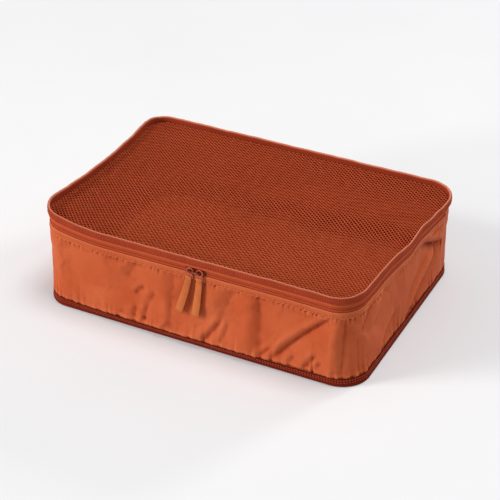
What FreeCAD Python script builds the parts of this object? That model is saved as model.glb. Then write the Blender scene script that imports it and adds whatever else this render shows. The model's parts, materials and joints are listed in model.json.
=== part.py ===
"""Packing cube: a soft rectangular travel case with a mesh lid, a zip on three sides and two zip pulls.

Frame: millimetres, +X along the long side, -Y towards the side with the zip pulls, +Z up.
The origin is the middle of the footprint, on the surface that the case stands on.
"""
import FreeCAD, Part
import math
import os
import Sketcher
from FreeCAD import Vector

doc = FreeCAD.newDocument("packing_cube")
sizes = doc.addObject("Spreadsheet::Sheet", "Sizes")

SHEET = [
    ("case", [
        ("outer_length", 360.0), ("outer_width", 260.0), ("outer_height", 100.0),
        ("corner_radius", 30.0), ("cloth", 0.8)]),
    ("bound seams", [
        ("bottom_binding_height", 9.0), ("bottom_binding_depth", 2.0),
        ("rim_height", 8.0), ("rim_depth", 3.0),
        ("seam_setback", 6.0), ("seam_binding_width", 8.0), ("seam_binding_depth", 0.8)]),
    ("mesh lid", [
        ("mesh_depth", 0.8), ("mesh_seat", 0.7), ("band_cloth", 0.6)]),
    ("zip", [
        ("zip_drop", 14.2), ("zip_gap", 1.0), ("tape_depth", 0.6), ("upper_show", 3.3),
        ("lower_show", 6.4), ("tape_tuck", 4.0), ("coil_width", 2.0), ("coil_depth", 1.4),
        ("stop_length", 3.0), ("stop_depth", 1.8)]),
    ("hinge at the back", [
        ("hinge_rise", 2.5), ("hinge_gap", 0.9), ("lid_end_gap", 0.5)]),
    ("sliders", [
        ("meeting_place", 7.7), ("nose_gap", 0.4), ("slider_length", 10.2), ("slider_height", 5.6),
        ("slider_clearance", 0.35), ("plate", 1.1), ("post_length", 2.4), ("post_height", 0.4),
        ("lip", 0.6), ("crown_window", 2.2), ("crown_bar", 1.2), ("crown_height", 1.6),
        ("crown_leg", 1.0)]),
    ("pullers", [
        ("eye_hole_radius", 2.75), ("eye_radius", 3.8), ("puller_depth", 1.1),
        ("slot_distance", 5.0), ("slot_height", 1.5), ("slot_width", 6.9), ("frame_side", 0.7),
        ("eye_overlap", 0.65), ("bar_radius", 0.6)]),
    ("pull tabs", [
        ("loop_clearance", 0.35), ("strap", 0.5), ("tab_depth", 1.4), ("tab_length", 41.5),
        ("tab_top_width", 6.4), ("tab_end_width", 8.4), ("left_tilt", 10.8), ("right_tilt", 3.9)]),
]

WORKED_OUT = [
    ("zip_line", "outer_height - zip_drop"),
    ("rim_bottom", "outer_height - rim_height"),
    ("hem_edge", "zip_line - lower_show"),
    ("band_edge", "zip_line + upper_show"),
    ("tape_inset", "bottom_binding_depth + cloth"),
    ("coil_inset", "tape_inset + tape_depth"),
    ("hinge_height", "zip_line + hinge_rise"),
    ("seam_place", "outer_width / 2 - corner_radius - seam_setback"),
    ("tape_face", "outer_width / 2 - tape_inset"),
    ("plate_face", "tape_face + slider_clearance + plate"),
    ("puller_plane", "plate_face + crown_window / 2"),
    ("bar_drop", "slot_distance + slot_height + bar_radius"),
    ("slider_offset", "(slider_length + nose_gap) / 2"),
]

row = 1
for title, values in SHEET:
    sizes.set(f"A{row}", title)
    row += 1
    for alias, value in values:
        sizes.set(f"A{row}", alias.replace("_", " "))
        sizes.set(f"B{row}", str(value))
        sizes.setAlias(f"B{row}", alias)
        row += 1
sizes.set(f"A{row}", "worked out")
row += 1
for alias, formula in WORKED_OUT:
    sizes.set(f"A{row}", alias.replace("_", " "))
    sizes.set(f"B{row}", "=" + formula)
    sizes.setAlias(f"B{row}", alias)
    row += 1
doc.recompute()

ALIASES = {alias for _, values in SHEET for alias, _ in values} | {alias for alias, _ in WORKED_OUT}


def bound(formula):
    """Write a formula in plain size names as an expression on the sheet's cells."""
    words = formula.replace("(", " ( ").replace(")", " ) ").split()
    return " ".join(f"Sizes.{word}" if word in ALIASES else word for word in words)


def tie(thing, place, formula):
    thing.setExpression(place, bound(formula))


def new_body(name):
    body = doc.addObject("PartDesign::Body", name)
    body.Label = name
    return body


def new_sketch(body, name, plane="XY_Plane", away=None):
    """A sketch on one of the body's own origin planes, moved along its normal by the formula away."""
    sketch = body.newObject("Sketcher::SketchObject", name)
    origin_plane = [p for p in body.Origin.OriginFeatures if p.Role == plane][0]
    sketch.AttachmentSupport = [(origin_plane, "")]
    sketch.MapMode = "FlatFace"
    if away:
        tie(sketch, "AttachmentOffset.Base.z", away)
    return sketch


def hold(sketch, constraint, name, formula):
    """Add a dimension to the sketch and bind it to the sheet."""
    index = sketch.addConstraint(constraint)
    sketch.renameConstraint(index, name)
    tie(sketch, f"Constraints.{name}", formula)


def add_box_outline(sketch, name, left, right, low, high):
    """A rectangle in the sketch: left and low are distances to the negative side of the origin."""
    corners = [Vector(-9, -9, 0), Vector(9, -9, 0), Vector(9, 9, 0), Vector(-9, 9, 0)]
    first = sketch.GeometryCount
    for i in range(4):
        sketch.addGeometry(Part.LineSegment(corners[i], corners[(i + 1) % 4]))
    for i in range(4):
        sketch.addConstraint(Sketcher.Constraint("Coincident", first + i, 2, first + (i + 1) % 4, 1))
        kind = "Horizontal" if i % 2 == 0 else "Vertical"
        sketch.addConstraint(Sketcher.Constraint(kind, first + i))
    hold(sketch, Sketcher.Constraint("DistanceX", first, 1, -1, 1, 9), f"{name}_left", left)
    hold(sketch, Sketcher.Constraint("DistanceX", -1, 1, first + 1, 1, 9), f"{name}_right", right)
    hold(sketch, Sketcher.Constraint("DistanceY", first, 1, -1, 1, 9), f"{name}_low", low)
    hold(sketch, Sketcher.Constraint("DistanceY", -1, 1, first + 2, 1, 9), f"{name}_high", high)


def add_round_outline(sketch, name, half_length, half_width, radius):
    """A rectangle with round corners, centred on the sketch's origin."""
    first = sketch.GeometryCount
    a, b, r = 50.0, 40.0, 10.0
    ends = [((-a + r, -b), (a - r, -b)), ((a, -b + r), (a, b - r)),
            ((a - r, b), (-a + r, b)), ((-a, b - r), (-a, -b + r))]
    centres = [(a - r, -b + r), (a - r, b - r), (-a + r, b - r), (-a + r, -b + r)]
    for start, end in ends:
        sketch.addGeometry(Part.LineSegment(Vector(*start, 0), Vector(*end, 0)))
    quarter = math.pi / 2
    for i, centre in enumerate(centres):
        circle = Part.Circle(Vector(*centre, 0), Vector(0, 0, 1), r)
        sketch.addGeometry(Part.ArcOfCircle(circle, (i - 1) * quarter, i * quarter))
    for i in range(4):
        arc = first + 4 + i
        sketch.addConstraint(Sketcher.Constraint("Tangent", first + i, 2, arc, 1))
        sketch.addConstraint(Sketcher.Constraint("Tangent", arc, 2, first + (i + 1) % 4, 1))
        kind = "Horizontal" if i % 2 == 0 else "Vertical"
        sketch.addConstraint(Sketcher.Constraint(kind, first + i))
        if i:
            sketch.addConstraint(Sketcher.Constraint("Equal", first + 4, arc))
    hold(sketch, Sketcher.Constraint("DistanceY", first, 1, -1, 1, b), f"{name}_front", half_width)
    hold(sketch, Sketcher.Constraint("DistanceX", -1, 1, first + 1, 1, a), f"{name}_right", half_length)
    hold(sketch, Sketcher.Constraint("DistanceY", -1, 1, first + 2, 1, b), f"{name}_back", half_width)
    hold(sketch, Sketcher.Constraint("DistanceX", first + 3, 1, -1, 1, a), f"{name}_left", half_length)
    hold(sketch, Sketcher.Constraint("Radius", first + 4, r), f"{name}_radius", radius)


def pad(body, sketch, length, name="Pad"):
    feature = body.newObject("PartDesign::Pad", f"{body.Name}_{name}")
    feature.Profile = sketch
    tie(feature, "Length", length)
    sketch.Visibility = False
    return feature


def cut_through(body, sketch, name="Trim"):
    feature = body.newObject("PartDesign::Pocket", f"{body.Name}_{name}")
    feature.Profile = sketch
    feature.Type = "ThroughAll"
    feature.Midplane = True
    return feature


def case_outline(sketch, name, inset):
    """The case's plan outline, drawn in from the outer one by the formula inset."""
    add_round_outline(sketch, name, f"outer_length / 2 - ( {inset} )", f"outer_width / 2 - ( {inset} )",
                      f"corner_radius - ( {inset} )")


def case_plate(name, inset, low, thickness):
    """A flat panel with the case's outline."""
    body = new_body(name)
    sketch = new_sketch(body, f"{name}_outline")
    case_outline(sketch, "edge", inset)
    pad(body, sketch, thickness)
    tie(body, "Placement.Base.z", low)
    return body


def case_band(name, inset, depth, low, high, part_of="all", seam="seam_place"):
    """An upright band that follows the case's outline.

    part_of is "all" for a closed ring, "front" for the front and both sides as far as the seam,
    and "back" for the rest.
    """
    body = new_body(name)
    sketch = new_sketch(body, f"{name}_outline")
    case_outline(sketch, "outside", inset)
    case_outline(sketch, "inside", f"{inset} + {depth}")
    pad(body, sketch, f"( {high} ) - ( {low} )")
    if part_of != "all":
        trim = new_sketch(body, f"{name}_trim")
        if part_of == "front":
            add_box_outline(trim, "away", "outer_length", "outer_length", f"0 - ( {seam} )", "outer_width")
        else:
            add_box_outline(trim, "away", "outer_length", "outer_length", "outer_width", seam)
        cut_through(body, trim)
    tie(body, "Placement.Base.z", low)
    return body


def box(name, x, y, z):
    """A Part box from three (start, length) pairs of formulas."""
    thing = doc.addObject("Part::Box", name)
    for side, axis, (start, length) in zip(("Length", "Width", "Height"), "xyz", (x, y, z)):
        tie(thing, side, length)
        tie(thing, f"Placement.Base.{axis}", start)
    return thing


# Cloth shell of the case, standing on the floor.
bottom_panel = case_plate("bottom_panel", "bottom_binding_depth", "0", "cloth")
side_wall = case_band("side_wall", "bottom_binding_depth", "cloth", "cloth", "hem_edge", "front")
back_wall = case_band("back_wall", "bottom_binding_depth", "cloth", "cloth",
                      "hinge_height - hinge_gap / 2", "back")
bottom_binding = case_band("bottom_binding", "0", "bottom_binding_depth", "0", "bottom_binding_height")


def seam_bindings():
    """Two upright tapes inside the back corners, over the seams of the side wall and the back wall."""
    strips = []
    for side, start in (("left", "0 - outer_length / 2 + tape_inset"),
                        ("right", "outer_length / 2 - tape_inset - seam_binding_depth")):
        strips.append(box(f"seam_binding_{side}", (start, "seam_binding_depth"),
                          ("seam_place - seam_binding_width / 2", "seam_binding_width"),
                          ("cloth", "hem_edge - tape_tuck - cloth - zip_gap / 2")))
    group = doc.addObject("Part::Compound", "seam_bindings")
    group.Links = strips
    group.Label = "seam_bindings"
    return group


# Lower half of the zip, sewn behind the wall's folded edge.
lower_zip_tape = case_band("lower_zip_tape", "tape_inset", "tape_depth", "hem_edge - tape_tuck",
                           "zip_line - zip_gap / 2", "front")
lower_zip_coil = case_band("lower_zip_coil", "coil_inset", "coil_depth",
                           "zip_line - zip_gap / 2 - coil_width", "zip_line - zip_gap / 2",
                           "front", "( seam_place - stop_length )")


def zip_stops():
    """One stop at each end of the zip, against the end of the lower coil."""
    stops = []
    for side, start in (("left", "0 - outer_length / 2 + coil_inset"),
                        ("right", "outer_length / 2 - coil_inset - stop_depth")):
        stops.append(box(f"zip_stop_{side}", (start, "stop_depth"),
                         ("seam_place - stop_length", "stop_length"),
                         ("zip_line - zip_gap / 2 - coil_width", "coil_width")))
    group = doc.addObject("Part::Compound", "zip_stops")
    group.Links = stops
    group.Label = "zip_stops"
    return group


# Mesh lid: a bound rim round the mesh, and the cloth and zip tape sewn under the rim.
mesh_panel = case_plate("mesh_panel", "rim_depth", "rim_bottom + mesh_seat", "mesh_depth")
lid_binding = case_band("lid_binding", "0", "rim_depth", "rim_bottom", "outer_height")
lid_band = case_band("lid_band", "tape_inset - band_cloth", "band_cloth", "band_edge", "rim_bottom", "front")
hinge_strip = case_band("hinge_strip", "bottom_binding_depth", "cloth",
                        "hinge_height + hinge_gap / 2", "rim_bottom", "back")
upper_zip_tape = case_band("upper_zip_tape", "tape_inset", "tape_depth", "zip_line + zip_gap / 2",
                           "rim_bottom", "front", "( seam_place - lid_end_gap )")
upper_zip_coil = case_band("upper_zip_coil", "coil_inset", "coil_depth", "zip_line + zip_gap / 2",
                           "zip_line + zip_gap / 2 + coil_width", "front", "( seam_place - stop_length )")


def slider(side, way):
    """A slider on the zip: a plate each side of the tapes, a post between the coils and a crown.

    way is +1 where the slider's nose points to +X. Its middle is the middle of the puller's eye.
    Above the zip line the two plates have no lips, so that the lid's half can lift out.
    """
    name = f"slider_{side}"
    inner_face = "( outer_width / 2 - coil_inset - coil_depth - slider_clearance - plate )"
    outer_face = "( tape_face + slider_clearance )"

    def along(start, length):
        return (start, length) if way > 0 else (f"0 - ( {start} ) - ( {length} )", length)

    def layer(near, depth):
        return (f"0 - ( {near} ) - ( {depth} )", depth)

    middle = ("0 - slider_height / 2", "slider_height")
    crown = ("0 - crown_height / 2", "crown_height")
    lip_top = "zip_gap / 2 + coil_width + slider_clearance"
    whole = along("0 - slider_length / 2", "slider_length")
    pieces = [
        box(f"{name}_outer_plate", whole, layer(outer_face, "plate"), middle),
        box(f"{name}_inner_plate", whole, layer(inner_face, "plate"),
            (f"0 - ( {lip_top} + lip )", f"{lip_top} + lip + slider_height / 2")),
        box(f"{name}_post", along("slider_length / 2 - post_length", "post_length"),
            layer(inner_face, f"{outer_face} - {inner_face} + plate"),
            ("0 - post_height / 2", "post_height")),
        box(f"{name}_lip", whole, layer(inner_face, "plate + slider_clearance + coil_depth / 2"),
            (f"0 - ( {lip_top} + lip )", "lip")),
        box(f"{name}_tail_leg", along("0 - crown_leg / 2", "crown_leg"),
            layer(outer_face, "plate + crown_window + crown_bar"), crown),
        box(f"{name}_nose_leg", along("slider_length / 2 - crown_leg", "crown_leg"),
            layer(outer_face, "plate + crown_window + crown_bar"), crown),
        box(f"{name}_crown_bar", along("0 - crown_leg / 2", "slider_length / 2 + crown_leg / 2"),
            layer("plate_face + crown_window", "crown_bar"), crown),
    ]
    body = doc.addObject("Part::MultiFuse", name)
    body.Shapes = pieces
    body.Refine = True
    body.Label = name
    tie(body, "Placement.Base.x", slider_place(way))
    tie(body, "Placement.Base.z", "zip_line")
    return body


def slider_place(way):
    return "meeting_place - slider_offset" if way > 0 else "meeting_place + slider_offset"


def hang(body, way, tilt):
    """Place a piece drawn round the eye's middle, in the X-Z plane, and swing it by tilt about Y."""
    body.Placement.Rotation = FreeCAD.Rotation(Vector(0, 1, 0), 0)
    tie(body, "Placement.Rotation.Angle", f"{tilt} * 1deg")
    tie(body, "Placement.Base.x", slider_place(way))
    tie(body, "Placement.Base.y", "0 - puller_plane")
    tie(body, "Placement.Base.z", "zip_line")


def puller(side, way, tilt):
    """A cast puller: a round eye on the slider's crown, and under it a frame with a slot."""
    name = f"puller_{side}"
    body = new_body(name)
    eye = new_sketch(body, f"{name}_eye", "XZ_Plane", "0 - puller_depth / 2")
    circle = eye.addGeometry(Part.Circle(Vector(0, 0, 0), Vector(0, 0, 1), 4))
    eye.addConstraint(Sketcher.Constraint("Coincident", circle, 3, -1, 1))
    hold(eye, Sketcher.Constraint("Radius", circle, 4), "eye", "eye_radius")
    pad(body, eye, "puller_depth", "eye_pad")
    frame = new_sketch(body, f"{name}_frame", "XZ_Plane", "0 - puller_depth / 2")
    half = "slot_width / 2 + frame_side"
    add_box_outline(frame, "frame", half, half, "bar_drop + bar_radius", "eye_overlap - eye_radius")
    pad(body, frame, "puller_depth", "frame_pad")
    holes = new_sketch(body, f"{name}_holes", "XZ_Plane")
    hole = holes.addGeometry(Part.Circle(Vector(0, 0, 0), Vector(0, 0, 1), 2))
    holes.addConstraint(Sketcher.Constraint("Coincident", hole, 3, -1, 1))
    hold(holes, Sketcher.Constraint("Radius", hole, 2), "eye_hole", "eye_hole_radius")
    add_box_outline(holes, "slot", "slot_width / 2", "slot_width / 2", "slot_distance + slot_height",
                    "0 - slot_distance")
    cut_through(body, holes, "holes_cut")
    hang(body, way, tilt)
    return body


def tab(side, way, tilt):
    """A strap pull tab: a loop round the puller's lower bar, and a blade that widens to its end."""
    name = f"tab_{side}"
    body = new_body(name)
    blade = new_sketch(body, f"{name}_blade", "XZ_Plane", "0 - tab_depth / 2")
    corners = [Vector(-3, -20, 0), Vector(3, -20, 0), Vector(3, -5, 0), Vector(-3, -5, 0)]
    for i in range(4):
        blade.addGeometry(Part.LineSegment(corners[i], corners[(i + 1) % 4]))
    for i in range(4):
        blade.addConstraint(Sketcher.Constraint("Coincident", i, 2, (i + 1) % 4, 1))
    blade.addConstraint(Sketcher.Constraint("Horizontal", 0))
    blade.addConstraint(Sketcher.Constraint("Horizontal", 2))
    hold(blade, Sketcher.Constraint("DistanceX", 0, 1, -1, 1, 3), "end_left", "tab_end_width / 2")
    hold(blade, Sketcher.Constraint("DistanceX", -1, 1, 0, 2, 3), "end_right", "tab_end_width / 2")
    hold(blade, Sketcher.Constraint("DistanceX", -1, 1, 2, 1, 3), "top_right", "tab_top_width / 2")
    hold(blade, Sketcher.Constraint("DistanceX", 2, 2, -1, 1, 3), "top_left", "tab_top_width / 2")
    hold(blade, Sketcher.Constraint("DistanceY", 0, 1, -1, 1, 20), "end_low", "bar_drop + tab_length")
    hold(blade, Sketcher.Constraint("DistanceY", 2, 1, -1, 1, 5), "top_low",
         "bar_drop + bar_radius + loop_clearance + strap / 2")
    pad(body, blade, "tab_depth", "blade_pad")
    loop = new_sketch(body, f"{name}_loop", "YZ_Plane", "0 - tab_top_width / 2")
    for ring, radius in (("outside", "bar_radius + loop_clearance + strap"),
                         ("inside", "bar_radius + loop_clearance")):
        circle = loop.addGeometry(Part.Circle(Vector(0, -7, 0), Vector(0, 0, 1), 2))
        loop.addConstraint(Sketcher.Constraint("PointOnObject", circle, 3, -2))
        hold(loop, Sketcher.Constraint("DistanceY", circle, 3, -1, 1, 7), f"{ring}_drop", "bar_drop")
        hold(loop, Sketcher.Constraint("Radius", circle, 2), ring, radius)
    pad(body, loop, "tab_top_width", "loop_pad")
    hang(body, way, tilt)
    return body


nodes = [bottom_panel, side_wall, back_wall, bottom_binding, seam_bindings(),
         lower_zip_tape, lower_zip_coil, zip_stops(),
         mesh_panel, lid_binding, lid_band, hinge_strip, upper_zip_tape, upper_zip_coil]
for side, way in (("left", 1), ("right", -1)):
    nodes += [slider(side, way), puller(side, way, f"{side}_tilt"), tab(side, way, f"{side}_tilt")]

doc.recompute()

for thing in doc.Objects:
    if "Invalid" in thing.State or "Error" in thing.State:
        raise RuntimeError(f"{thing.Name} did not build: {thing.State}")
for node in nodes:
    if node.Shape.isNull() or not node.Shape.isValid() or not node.Shape.Solids:
        raise RuntimeError(f"{node.Label} has no valid solid")

os.makedirs("parts", exist_ok=True)
for node in nodes:
    node.Shape.exportStep(f"parts/{node.Label}.step")
    print(node.Label, len(node.Shape.Solids), "solid,", round(node.Shape.Volume, 1), "mm3")
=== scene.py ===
"""Packing cube: the looks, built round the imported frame.

Lengths below are in millimetres, unless a name ends in _m."""
import json
import math

import bpy
import bmesh
import numpy as np
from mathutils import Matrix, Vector, noise


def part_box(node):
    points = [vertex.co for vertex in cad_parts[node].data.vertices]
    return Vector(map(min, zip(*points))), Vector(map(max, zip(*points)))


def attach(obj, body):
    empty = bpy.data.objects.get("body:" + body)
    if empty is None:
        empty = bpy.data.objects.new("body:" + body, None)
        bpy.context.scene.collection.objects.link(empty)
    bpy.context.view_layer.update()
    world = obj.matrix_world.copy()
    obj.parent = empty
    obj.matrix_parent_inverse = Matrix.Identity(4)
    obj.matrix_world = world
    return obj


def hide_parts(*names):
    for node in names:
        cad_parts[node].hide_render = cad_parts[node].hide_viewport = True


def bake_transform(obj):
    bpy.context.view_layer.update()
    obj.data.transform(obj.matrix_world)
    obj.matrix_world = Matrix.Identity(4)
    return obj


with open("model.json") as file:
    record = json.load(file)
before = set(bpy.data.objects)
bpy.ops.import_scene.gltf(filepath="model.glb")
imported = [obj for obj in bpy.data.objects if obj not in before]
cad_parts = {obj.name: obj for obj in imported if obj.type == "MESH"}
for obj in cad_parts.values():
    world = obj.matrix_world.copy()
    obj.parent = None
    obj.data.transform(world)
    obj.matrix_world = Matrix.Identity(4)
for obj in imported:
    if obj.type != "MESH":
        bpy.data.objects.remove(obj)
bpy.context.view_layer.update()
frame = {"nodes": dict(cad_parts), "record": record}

MM = 0.001


# ---- sizes, most read from the frame

def node_box(name):
    """Lowest and highest corners of a CAD node, in mm."""
    low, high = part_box(name)
    return np.array(low) / MM, np.array(high) / MM


RIM_LOW, RIM_HIGH = node_box("lid_binding")
LENGTH, WIDTH = (RIM_HIGH - RIM_LOW)[:2]
HEIGHT = RIM_HIGH[2]
CORNER = 30.0
STRAIGHT_X = LENGTH / 2 - CORNER
STRAIGHT_Y = WIDTH / 2 - CORNER
ARC = CORNER * math.pi / 2
PERIMETER = 4 * (STRAIGHT_X + STRAIGHT_Y + ARC)

RIM_BOTTOM = RIM_LOW[2]
# The walls' outer face lies this far inside the rim, and they stand on the bottom panel's top.
WALL_INSET = 2.0
CLOTH = 0.8
HEM_EDGE = node_box("side_wall")[1][2]
ZIP_LOW = node_box("lower_zip_tape")[1][2]
ZIP_HIGH = node_box("upper_zip_tape")[0][2]
ZIP_LINE = (ZIP_LOW + ZIP_HIGH) / 2
SEAM_Y = node_box("side_wall")[1][1]
SEAM_S = STRAIGHT_X + ARC + STRAIGHT_Y + SEAM_Y
BINDING_TOP = node_box("bottom_binding")[1][2]
HEM_BOTTOM = HEM_EDGE - 3.2
MESH_LEVEL = node_box("mesh_panel")[0][2]
BAND_BOTTOM = node_box("lid_band")[0][2]


# ---- the case's outline and its soft shape

def outline(s):
    """Points and outward directions on the outline, s mm anticlockwise from the middle of the front."""
    s = np.mod(np.asarray(s, dtype=float), PERIMETER)
    point = np.zeros(s.shape + (2,))
    outward = np.zeros(s.shape + (2,))
    start, heading = 0.0, 0.0
    corner_at = np.array([0.0, -WIDTH / 2])
    for run in (STRAIGHT_X, 2 * STRAIGHT_Y, 2 * STRAIGHT_X, 2 * STRAIGHT_Y, STRAIGHT_X):
        along = np.array([math.cos(heading), math.sin(heading)])
        out = np.array([math.sin(heading), -math.cos(heading)])
        here = (s >= start - 1e-9) & (s <= start + run + 1e-9)
        point[here] = corner_at + (s[here] - start)[:, None] * along
        outward[here] = out
        start += run
        centre = corner_at + run * along - CORNER * out
        here = (s > start) & (s < start + ARC)
        turn = heading + (s[here] - start) / CORNER
        outward[here] = np.stack([np.sin(turn), -np.cos(turn)], axis=-1)
        point[here] = centre + CORNER * outward[here]
        start += ARC
        heading += math.pi / 2
        corner_at = centre + CORNER * np.array([math.sin(heading), -math.cos(heading)])
    return point, outward


# How far the filled, soft case's top edge has moved at its corners, and how far its sides bow.
FRONT_LEFT = np.array([2.2, 7.7, 9.4])
FRONT_RIGHT = np.array([-7.8, -3.4, 0.4])
BACK_LEFT = np.array([-9.3, -2.7, 2.1])
BACK_RIGHT = np.array([2.2, -1.8, -2.4])
BOW_LEFT = np.array([8.7, 0.0, -2.0])
BOW_RIGHT = np.array([2.1, 0.0, -0.2])
BOW_BACK = np.array([0.0, -2.1, 1.2])
# The front edge stays put this far to either side of its middle, where the sliders run.
STILL = 93.0
# The wave of the zip line along the right side: the rise of each swell, its middle in y and its half width.
RIGHT_SWELLS = ((3.2, -52, 30), (-1.6, 2, 14), (2.6, 27, 18), (-3.4, 92, 26))
# How far the front's foot is pushed outwards, its lowest edge tucks back, and the left corner leans in.
FRONT_PUSH, FRONT_TUCK, LEFT_LEAN = 6.4, 6.0, 6.0


def ease(t):
    t = np.clip(t, 0.0, 1.0)
    return t * t * (3 - 2 * t)


def front_shift(x):
    """The front top edge: still by the sliders, growing to its corners."""
    left = np.clip((-x - STILL) / (LENGTH / 2 - STILL), 0, 1) ** 1.8
    right = np.clip((x - STILL) / (LENGTH / 2 - STILL), 0, 1) ** 1.8
    return left[..., None] * FRONT_LEFT + right[..., None] * FRONT_RIGHT


def edge_shift(first, last, bow, t):
    t = t[..., None]
    return first * (1 - t) + last * t + bow * 4 * t * (1 - t)


def right_wave(v):
    """The zip runs in a slow wave along the right side, and drops to the back corner."""
    y = (v - 0.5) * WIDTH
    return sum(rise * np.exp(-((y - middle) / width) ** 2) for rise, middle, width in RIGHT_SWELLS)


def top_shift(x, y):
    """Shift of the top edge's level above (x, y), blended across from the four sides."""
    u = np.clip(x / LENGTH + 0.5, 0, 1)
    v = np.clip(y / WIDTH + 0.5, 0, 1)
    front = front_shift((u - 0.5) * LENGTH)
    back = edge_shift(BACK_LEFT, BACK_RIGHT, BOW_BACK, u)
    left = edge_shift(FRONT_LEFT, BACK_LEFT, BOW_LEFT, v)
    right = edge_shift(FRONT_RIGHT, BACK_RIGHT, BOW_RIGHT, v)
    right[..., 2] += right_wave(v)
    u, v = u[..., None], v[..., None]
    corners = ((1 - u) * (1 - v) * FRONT_LEFT + u * (1 - v) * FRONT_RIGHT
               + (1 - u) * v * BACK_LEFT + u * v * BACK_RIGHT)
    return (1 - v) * front + v * back + (1 - u) * left + u * right - corners


def soften(points):
    """The case's soft shape: CAD points moved with the top edge, and the foot of the front pushed out."""
    points = np.array(points, dtype=float)
    x, y, z = points[..., 0], points[..., 1], points[..., 2]
    moved = points + top_shift(x, y) * np.clip(z / HEIGHT, 0, 1.05)[..., None]
    front = np.clip(0.5 - y / WIDTH, 0, 1) ** 6
    across = np.clip(1 - (2 * x / LENGTH) ** 2, 0, 1)
    foot = ease(1 - z / 62.0)
    tuck = ease(1 - z / 13.0)
    moved[..., 1] -= front * across * (FRONT_PUSH * foot - FRONT_TUCK * tuck)
    near_left = np.clip(0.5 - x / LENGTH, 0, 1) ** 5 * np.clip(0.5 - y / WIDTH, 0, 1) ** 1.5
    moved[..., 0] += LEFT_LEAN * near_left * ease(1 - z / 75.0)
    return moved


def fractal(x, y, z, octaves=3):
    """Smooth noise at a place, the same in every run."""
    return noise.fractal(Vector((x, y, z)), 1.0, 2.1, octaves)


def fractal_along(places, seed):
    """Smooth noise at each of a row of places."""
    return np.array([fractal(place, seed, 0.0) for place in places])


def outward_3d(s):
    """Outward directions along the outline, as level 3-D vectors."""
    return np.concatenate([outline(s)[1], np.zeros((len(s), 1))], axis=1)


def raised(level, ring):
    """A profile ring whose heights are given above a level."""
    return [(inset, level + rise) for inset, rise in ring]


def cloth_size(inset):
    """Sides in metres and area in square metres of a sheet that ends this far inside the outline."""
    length, width = LENGTH - 2 * inset, WIDTH - 2 * inset
    area = length * width - (4 - math.pi) * (CORNER - inset) ** 2
    return (length * MM, width * MM), area * MM * MM


# ---- mesh makers

def belongs(piece, body, slot, *nodes):
    """The piece rides on a body and stands for CAD nodes if any are named; the slot is not used."""
    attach(piece, body)
    if nodes:
        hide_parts(*nodes)


def add_object(name, mesh, material):
    piece = bpy.data.objects.new(name, mesh)
    bpy.context.scene.collection.objects.link(piece)
    mesh.materials.append(material)
    return piece


def mesh_piece(name, points, faces, material, uv=None, fix_normals=True):
    """A mesh object from points in mm; uv holds a pair per face corner, in mm."""
    mesh = bpy.data.meshes.new(name)
    mesh.from_pydata((np.asarray(points).reshape(-1, 3) * MM).tolist(), [], faces)
    if uv is not None:
        layer = mesh.uv_layers.new(name="cloth")
        layer.data.foreach_set("uv", (np.asarray(uv, dtype=float) * MM).ravel())
    mesh.polygons.foreach_set("use_smooth", [True] * len(mesh.polygons))
    if fix_normals:
        work = bmesh.new()
        work.from_mesh(mesh)
        bmesh.ops.recalc_face_normals(work, faces=work.faces)
        work.to_mesh(mesh)
        work.free()
    mesh.update()
    return add_object(name, mesh, material)


def grid_faces(rows, columns, wrap_rows, wrap_columns, row_at, column_at):
    """Faces and uv corners of a rows by columns grid of points, closed round either way where asked."""
    faces, uv = [], []
    for i in range(rows if wrap_rows else rows - 1):
        after = (i + 1) % rows
        for j in range(columns if wrap_columns else columns - 1):
            beside = (j + 1) % columns
            faces.append((i * columns + j, after * columns + j,
                          after * columns + beside, i * columns + beside))
            uv += [(row_at[i], column_at[j]), (row_at[i + 1], column_at[j]),
                   (row_at[i + 1], column_at[j + 1]), (row_at[i], column_at[j + 1])]
    return faces, uv


def closed_sweep(name, s, profile, material, whole=True, shape=None):
    """A closed solid swept along the outline from a ring of (inset, z); shape may move its points."""
    profile = np.asarray(profile, dtype=float)
    columns = len(profile)
    point, outward = outline(s)
    flat = point[:, None, :] - outward[:, None, :] * profile[:, :1]
    heights = np.broadcast_to(profile[:, 1:], (len(s), columns, 1))
    points = soften(np.concatenate([flat, heights], axis=-1))
    if shape is not None:
        points = shape(points, s)
    steps = np.linalg.norm(np.diff(np.vstack([profile, profile[:1]]), axis=0), axis=1)
    round_at = np.concatenate([[0], np.cumsum(steps)])
    faces, uv = grid_faces(len(s), columns, whole, True, np.append(s, s[-1] + s[1] - s[0]), round_at)
    if not whole:
        for first in (0, (len(s) - 1) * columns):
            faces.append(tuple(range(first, first + columns)))
            uv += [(0, 0)] * columns
    return mesh_piece(name, points, faces, material, uv)


def along(start, end, step):
    """Evenly spaced places from start to end, about step apart."""
    return np.linspace(start, end, max(2, int(round((end - start) / step)) + 1))


def beside_zip(step):
    """Places along the zip that stop 4 mm before the back seams."""
    return along(4 - SEAM_S, SEAM_S - 4, step)


def round_trip(step):
    """Places right round the outline, without the last one that would repeat the first."""
    return np.arange(int(PERIMETER / step)) * (PERIMETER / int(PERIMETER / step))


# A stitch is a small closed grain: places along it, from -1 to 1, each with its share of the radius.
GRAIN = ((-0.82, 0.62), (0.0, 1.0), (0.82, 0.62))


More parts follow.
